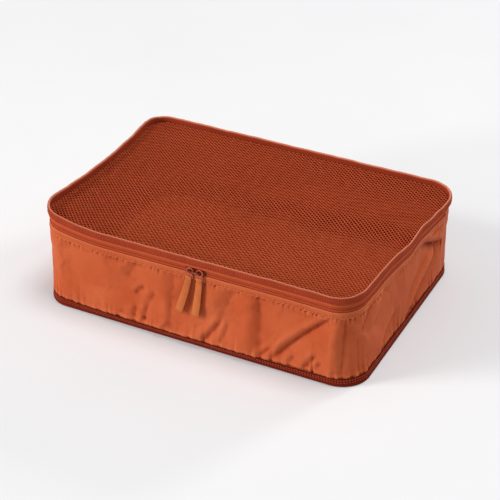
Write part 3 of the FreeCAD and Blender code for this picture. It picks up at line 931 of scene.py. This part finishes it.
def make_zip():
    """Two woven tapes whose folded edges nearly meet, and the coils sewn behind them."""
    s = along(-SEAM_S, SEAM_S, 2.0)
    upper = raised(ZIP_LINE + TAPE_GAP, [
        (2.75, 0.1), (2.55, 0.4), (2.5, 1.2), (2.55, 2.1), (2.75, 2.4), (3.05, 2.6), (3.05, 5.7), (3.6, 5.7),
        (3.6, 1.2), (3.45, 0.25), (3.1, 0.0)])
    lower = raised(ZIP_LINE - TAPE_GAP, [
        (3.1, 0.0), (3.45, -0.25), (3.6, -1.2), (3.6, -9.3), (3.0, -9.3), (3.05, -2.7), (2.8, -2.45),
        (2.58, -2.1), (2.5, -1.2), (2.55, -0.45), (2.75, -0.1)])
    for half, body, profile in (("upper", "lid", upper), ("lower", "base", lower)):
        tape = closed_sweep(half + "_zip_tape_weave", s, profile, ZIP_TAPE, whole=False)
        belongs(tape, body, "zip_tape", half + "_zip_tape")
    end = SEAM_S - 5.0
    t = np.linspace(-end, end, COIL_TURNS * COIL_STEPS + 1)
    point, outward = outline(t)
    for half, body, side in (("upper", "lid", 1), ("lower", "base", -1)):
        level = ZIP_LINE + side * 0.85
        phase = 2 * math.pi * np.arange(len(t)) / COIL_STEPS + (0 if side > 0 else math.pi)
        depth = 4.1 - 0.45 * np.cos(phase)
        path = soften(np.column_stack([point - outward * depth[:, None], level + 0.95 * np.sin(phase)]))
        coil = tube(half + "_zip_coil_helix", path, 0.27, SHADED_COIL, 4)
        belongs(coil, body, "zip_coil", half + "_zip_coil")
        sew(half + "_coil_stitches", body, "zip_coil", along(-end, end, 1.9), 4.86, level, 1.5, 0.2, SEWING)
    level = ZIP_LINE - 5.1
    sew("lower_tape_stitches", "base", "zip_tape", beside_zip(2.9), 2.78, level, 1.9, 0.2, SEWING)


def both_seams(name, from_seam, half, step, profile, material):
    """One small sweep near either back seam, joined into one piece."""
    made = []
    for side in (-1, 1):
        middle = side * (SEAM_S - from_seam)
        made.append(closed_sweep(name + "_part", along(middle - half, middle + half, step), profile, material,
                                 whole=False))
    return join(name, *made)


def make_zip_ends():
    """The turned-in ends of the zip and the tapes over the two back seams."""
    stop = raised(ZIP_LINE, [(3.5, -2.4), (3.5, -0.6), (3.9, -0.45), (4.6, -0.6), (5.1, -0.9), (5.1, -2.1),
                             (4.6, -2.45), (3.9, -2.5)])
    stops = both_seams("zip_stop_pair", 1.6, 1.4, 0.7, stop, SHADED_SLIDER_PAINT)
    belongs(stops, "base", "painted_slider", "zip_stops")
    tape = [(2.75, 1.0), (2.7, 20.0), (2.7, 40.0), (2.7, 60.0), (2.75, 74.8), (3.5, 74.8), (3.6, 60.0),
            (3.6, 40.0), (3.6, 20.0), (3.5, 1.0)]
    tapes = both_seams("seam_binding_tapes", 0.0, 4.0, 1.0, tape, RIM_TAPE)
    belongs(tapes, "base", "binding", "seam_bindings")


def foot_shape(points, s):
    """The foot binding ripples a little, and its upper edge draws in between the wall's gathers."""
    points = wobble(points, s, 0.35, 15.0, 12.0)
    top = ease((points[..., 2] - BINDING_TOP + 3.2) / 3.0)
    drawn = 0.55 * np.sin(2 * math.pi * s / FOOT_PITCH + 2.0) + 0.35 * np.sin(2 * math.pi * s / 6.1)
    push_out(points, s, -(0.45 + drawn), top)
    return points


def make_bottom_binding():
    """The foot binding: a flat stitched tape above a rolled edge."""
    profile = [(2.0, 0.35), (1.2, 0.05), (0.5, 0.4), (0.1, 1.3), (0.0, 2.4), (0.25, 3.4), (0.75, 4.1),
               (0.85, 5.2), (0.8, 7.0), (0.85, 8.4), (1.15, 8.95), (1.6, 8.9), (1.9, 8.4), (1.95, 5.0),
               (2.2, 2.6), (2.6, 1.4)]
    foot = closed_sweep("bottom_binding_tape", round_trip(2.0), profile, SHADED_FOOT_TAPE, shape=foot_shape)
    belongs(foot, "base", "binding", "bottom_binding")
    level = BINDING_TOP + 0.75
    # Painted shadow: a row of dark stitches just above the binding, where the gathers cast shade.
    sew("bottom_binding_shadow_seam", "base", "binding", round_trip(4.7), 1.15, level, 2.5, 0.5, SEAM_SHADOW_THREAD)
    for name, level, inset in (("upper", 7.6, 0.8), ("lower", 4.9, 0.86)):
        sew("bottom_binding_stitches_" + name, "base", "binding", round_trip(2.8), inset, level, 1.7, 0.42,
            SEWING_DARK, sink=0.0)


def gathered_edge(points, s):
    """The hem's sewn edge draws in at every stitch and stands out between them."""
    points = wobble(points, s, 0.2, 9.0, 6.0)
    low = ease((HEM_BOTTOM + 2.4 - points[..., 2]) / 2.2)
    draw = -0.6 * gather_phase(s)[0]
    push_out(points, s, -(0.3 + draw), low)
    points[..., 2] -= (0.9 * draw)[:, None] * low
    return points


def make_hem():
    """The folded hem over the zip tape, with its stitch row."""
    s = along(-SEAM_S, SEAM_S, 1.0)
    top, low = ZIP_LOW - 2.45, HEM_BOTTOM
    profile = [(2.9, top - 0.5), (2.5, top), (2.05, top - 0.1), (1.85, top - 0.7), (1.85, top - 2.4),
               (1.8, low + 1.6), (1.75, low + 0.6), (1.95, low - 0.2), (2.5, low - 0.4), (2.9, low + 0.4)]
    hem = closed_sweep("zip_hem_cloth", s, profile, NYLON_CLOTH, whole=False, shape=gathered_edge)
    belongs(hem, "base", "nylon")
    sew("hem_stitches", "base", "nylon", beside_zip(2.65), 1.8, low + 1.5, 1.7, 0.24, SEWING)


# ---- the net of the lid

# The holes repeat at CELL_X and CELL_Y, staggered. LEG is half the short side between two junctions, STRONG
# and FINE are the threads' half widths, and NET_RIDGE is their height. The net ends NET_INSET inside the rim.
CELL_X, CELL_Y = 5.1, 4.26
LEG = 0.385
STRONG, FINE = 0.62, 0.45
NET_RIDGE = 0.85
NET_INSET = 3.0


def hole_corners():
    """Where a hole's corners lie about its centre, inside its six junctions, by the threads' half widths."""
    junctions = np.array([(CELL_X / 2 - LEG, 0), (LEG, CELL_Y / 2), (-LEG, CELL_Y / 2), (LEG - CELL_X / 2, 0),
                          (-LEG, -CELL_Y / 2), (LEG, -CELL_Y / 2)])
    widths = [STRONG, FINE, FINE, STRONG, FINE, FINE]
    corners = []
    for k in range(6):
        lines = []
        for start, end, width in ((k - 1, k, widths[k - 1]), (k, (k + 1) % 6, widths[k])):
            edge = junctions[end] - junctions[start]
            inward = np.array([-edge[1], edge[0]]) / np.linalg.norm(edge)
            lines.append((inward, inward @ junctions[k] + width))
        inwards, reaches = zip(*lines)
        corners.append(np.linalg.solve(np.array(inwards), np.array(reaches)))
    return junctions, np.array(corners)


def inside_outline(x, y, inset):
    """Whether a point lies at least inset within the outline."""
    dx = max(abs(x) - STRAIGHT_X, 0.0)
    dy = max(abs(y) - STRAIGHT_Y, 0.0)
    return math.hypot(dx, dy) <= CORNER - inset if dx > 0 and dy > 0 else max(dx, dy) <= CORNER - inset


def make_net():
    """The hexagonal net as one closed mesh: flat below, with a ridge along each thread."""
    junctions, corners = hole_corners()
    neighbours = ((1, 1), (0, 2), (-1, 1), (-1, -1), (0, -2), (1, -1))
    columns, rows = int(LENGTH / CELL_X) + 2, int(WIDTH / CELL_Y) + 2
    holes = set()
    for i in range(-columns, columns + 1):
        for j in range(-2 * rows, 2 * rows + 1):
            if (i + j) % 2 == 0 and inside_outline(i * CELL_X / 2, j * CELL_Y / 2, NET_INSET + 0.3):
                holes.add((i, j))
    points, index = [], {}

    def beside(hole, k):
        return (hole[0] + neighbours[k][0], hole[1] + neighbours[k][1])

    def centre(hole):
        return np.array([hole[0] * CELL_X / 2, hole[1] * CELL_Y / 2])

    def corner(hole, k):
        key = ("c", hole, k % 6)
        if key not in index:
            index[key] = len(points)
            points.append((*(centre(hole) + corners[k % 6]), 0.0))
        return index[key]

    def junction(hole, k):
        place = centre(hole) + junctions[k % 6]
        key = ("j", round(place[0] * 20), round(place[1] * 20))
        if key not in index:
            index[key] = len(points)
            points.append((*place, NET_RIDGE))
        return index[key]

    faces = []
    # Side k of a hole runs from its junction k to k + 1 and faces neighbour k.
    for hole in sorted(holes):
        for k in range(6):
            other = beside(hole, k)
            a, b = corner(hole, k), corner(hole, k + 1)
            ja, jb = junction(hole, k), junction(hole, k + 1)
            faces.append((a, b, jb, ja))
            if other in holes and other < hole:
                continue
            oa, ob = corner(other, k + 4), corner(other, k + 3)
            faces.append((a, oa, ob, b))
            if other not in holes:
                faces.append((oa, ja, jb, ob))
    done = set()
    for hole in sorted(holes):
        for k in range(6):
            first, second = beside(hole, k - 1), beside(hole, k)
            key = junction(hole, k)
            if key in done:
                continue
            done.add(key)
            # The same junction is corner k of this hole, k + 2 of the one before and k + 4 of the one after.
            ring = (corner(hole, k), corner(first, k + 2), corner(second, k + 4))
            faces.append(ring)
            meeting = [(hole, ring[0]), (first, ring[1]), (second, ring[2])]
            for m in range(3):
                one, two = meeting[m], meeting[(m + 1) % 3]
                if one[0] not in holes and two[0] not in holes:
                    faces.append((one[1], two[1], key))
    flat = np.array(points)
    rise = np.array([fractal(x * 0.011, y * 0.014, 2.0, 2) for x, y in flat[:, :2]])
    edge = np.minimum(LENGTH / 2 - np.abs(flat[:, 0]), WIDTH / 2 - np.abs(flat[:, 1])) - NET_INSET
    slack = ease(edge / 60.0)
    flat[:, 2] += MESH_LEVEL + slack * (2.2 * rise - 0.8)
    piece = mesh_piece("mesh_lid_net", soften(flat), faces, NET_THREAD)
    belongs(piece, "lid", "mesh", "mesh_panel")


# ---- sliders, pullers and tabs

def finish_node(name, material):
    """A CAD node keeps its shape and gets a finished material."""
    node = frame["nodes"][name]
    for place in node.material_slots:
        place.material = material
    if not node.material_slots:
        node.data.materials.append(material)


def hinge_of(side):
    """The middle of the tab's fold axis in mm, its direction, and the direction the tab hangs in."""
    joint = [j for j in frame["record"]["behaviour"]["joints"] if j["name"] == "tab_" + side + "_fold"][0]
    place = np.array(joint["pos_m"]) / MM
    axis = -np.array(joint["axis"], dtype=float)
    down = np.cross(axis, np.array([0.0, 1.0, 0.0]))
    return place, axis, down if down[2] < 0 else -down


# The strap's half thickness, the radius of its loop's middle line, and its half width at its top and end.
STRAP_HALF, LOOP_RADIUS = 0.28, 1.16
TAB_HALF_TOP, TAB_HALF_END = 3.2, 4.2
# At its end each tab hangs this far off the wall, and leans this far sideways.
TAB_HANG = 3.6
TAB_LEAN = {"left": -3.0, "right": -0.8}
# The strap's section as (across, thick) shares of its half sizes, and which of its faces are the cut edges.
STRAP_SECTION = ((-1.0, -0.55), (-1.0, 0.55), (-0.93, 1.0), (0.93, 1.0), (1.0, 0.55), (1.0, -0.55),
                 (0.93, -1.0), (-0.93, -1.0))
CUT_EDGES = (0, 4)


def strap_path(length):
    """The strap's middle line as (down, front) pairs: up the back ply, over the bar, down the front ply."""
    steps = 0.4 + (length - 0.4) * np.linspace(0, 1, 28) ** 1.7
    apart = 0.34 + 0.82 * np.exp(-((steps - 0.2) / 1.5) ** 2)
    turn = np.linspace(-math.pi * 0.42, math.pi * 0.42, 15)
    arch = np.column_stack([-LOOP_RADIUS * np.cos(turn), LOOP_RADIUS * np.sin(turn)])
    return np.concatenate([np.column_stack([steps, -apart])[::-1], arch, np.column_stack([steps, apart])])


def make_tab(side):
    """A strap folded over the puller's bar and closed on itself: two plies with their edges cut square."""
    place, axis, down = hinge_of(side)
    front = np.array([0.0, -1.0, 0.0])
    low = node_box("tab_" + side)[0]
    length = (place[2] - low[2]) / abs(down[2]) - 0.6
    path = strap_path(length)
    hang = np.clip((path[:, 0] - 2.0) / (length - 2.0), 0, 1) ** 1.4
    ahead = np.gradient(path, axis=0)
    ahead /= np.linalg.norm(ahead, axis=1)[:, None]
    side_way = np.column_stack([-ahead[:, 1], ahead[:, 0]])
    half_width = TAB_HALF_TOP + (TAB_HALF_END - TAB_HALF_TOP) * np.clip(path[:, 0] / length, 0, 1)
    points = []
    for k in range(len(path)):
        for across, thick in STRAP_SECTION:
            down_by, front_by = path[k] + side_way[k] * STRAP_HALF * thick
            front_by += TAB_HANG * hang[k]
            spot = place + axis * across * half_width[k] + down * down_by + front * front_by
            points.append(spot + np.array([TAB_LEAN[side] * hang[k], 0.0, 0.0]))
    columns = len(STRAP_SECTION)
    faces = grid_faces(len(path), columns, False, True, np.arange(len(path) + 1), np.arange(columns + 1))[0]
    sides_of_strap = len(faces)
    faces.append(tuple(range(columns)))
    faces.append(tuple(range(len(points) - columns, len(points))))
    tab = mesh_piece("strap_tab_" + side, points, faces, STRAP_FACE)
    tab.data.materials.append(STRAP_EDGE_AND_SHADE)
    for number in range(sides_of_strap):
        if number % columns in CUT_EDGES:
            tab.data.polygons[number].material_index = 1
    belongs(tab, "tab_" + side, "pull_tab", "tab_" + side)
    centres = [place + axis * across + down * 3.7 + front * 0.74 for across in np.linspace(-2.3, 2.3, 4)]
    row = stitch_row("strap_tab_stitches_" + side, centres, [axis] * 4, [front] * 4, 1.25, 0.2, SEWING)
    belongs(row, "tab_" + side, "pull_tab")


# ---- studio

FLOOR_HALF_M = 6.0


def make_stage():
    """A square of floor."""
    corners = [(x * FLOOR_HALF_M, y * FLOOR_HALF_M, 0) for x, y in ((-1, -1), (1, -1), (1, 1), (-1, 1))]
    mesh = bpy.data.meshes.new("studio_floor")
    mesh.from_pydata(corners, [], [(0, 1, 2, 3)])
    floor = add_object("studio_floor", mesh, floor_material())


def area_light(name, place, aim, size, power, colour=(1, 1, 1)):
    """A rectangular lamp at a place in metres, turned to its aim."""
    light = bpy.data.lights.new(name, "AREA")
    light.shape = "RECTANGLE"
    light.size, light.size_y = size
    light.energy = power
    light.color = colour
    lamp = bpy.data.objects.new(name, light)
    lamp.location = place
    lamp.rotation_euler = (Vector(aim) - Vector(place)).to_track_quat("-Z", "Y").to_euler()
    bpy.context.scene.collection.objects.link(lamp)


def make_lights():
    """Soft light from the front left, from above and from behind on the right, and an even dome."""
    aim = (0.0, 0.0, 0.05)
    area_light("key", (-3.1, -2.3, 2.3), aim, (0.9, 0.7), 84, (1.0, 0.99, 0.97))
    area_light("front_fill", (-2.9, -3.1, 0.95), aim, (0.8, 0.5), 76, (1.0, 0.99, 0.98))
    area_light("top", (0.7, 0.15, 3.2), aim, (1.5, 1.2), 50)
    area_light("back_fill", (1.5, 3.2, 1.4), (0.3, 0.2, 0.0), (0.8, 0.5), 48)
    world = bpy.data.worlds.new("studio")
    world.use_nodes = True
    dome = world.node_tree.nodes["Background"]
    dome.inputs["Color"].default_value = (0.97, 0.98, 1.0, 1.0)
    dome.inputs["Strength"].default_value = 0.38
    bpy.context.scene.world = world
    bpy.context.scene.view_settings.view_transform = "Standard"


def make_camera():
    """The viewing angle, distance in metres and lens in mm of the reference view."""
    azimuth, elevation = math.radians(26.96), math.radians(31.04)
    distance, lens = 1.4317, 99.0504
    target = Vector((0.0, 0.0, 0.05))
    camera = bpy.data.cameras.new("camera")
    camera.sensor_width = 36.0
    camera.lens = lens
    camera.shift_x, camera.shift_y = 0.00135, -0.02025
    holder = bpy.data.objects.new("camera", camera)
    away = Vector((math.sin(azimuth) * math.cos(elevation), -math.cos(azimuth) * math.cos(elevation),
                   math.sin(elevation)))
    holder.location = target + distance * away
    holder.rotation_euler = (math.pi / 2 - elevation, 0.0, azimuth)
    bpy.context.scene.collection.objects.link(holder)
    bpy.context.scene.camera = holder


make_camera()
make_stage()
make_lights()
make_walls()
make_bottom()
make_hem()
make_bottom_binding()
make_lid_binding()
make_lid_band()
make_zip()
make_zip_ends()
make_net()
for side_name in ("left", "right"):
    finish_node("slider_" + side_name, SHADED_SLIDER_PAINT)
    finish_node("puller_" + side_name, PULLER_PAINT)
    make_tab(side_name)
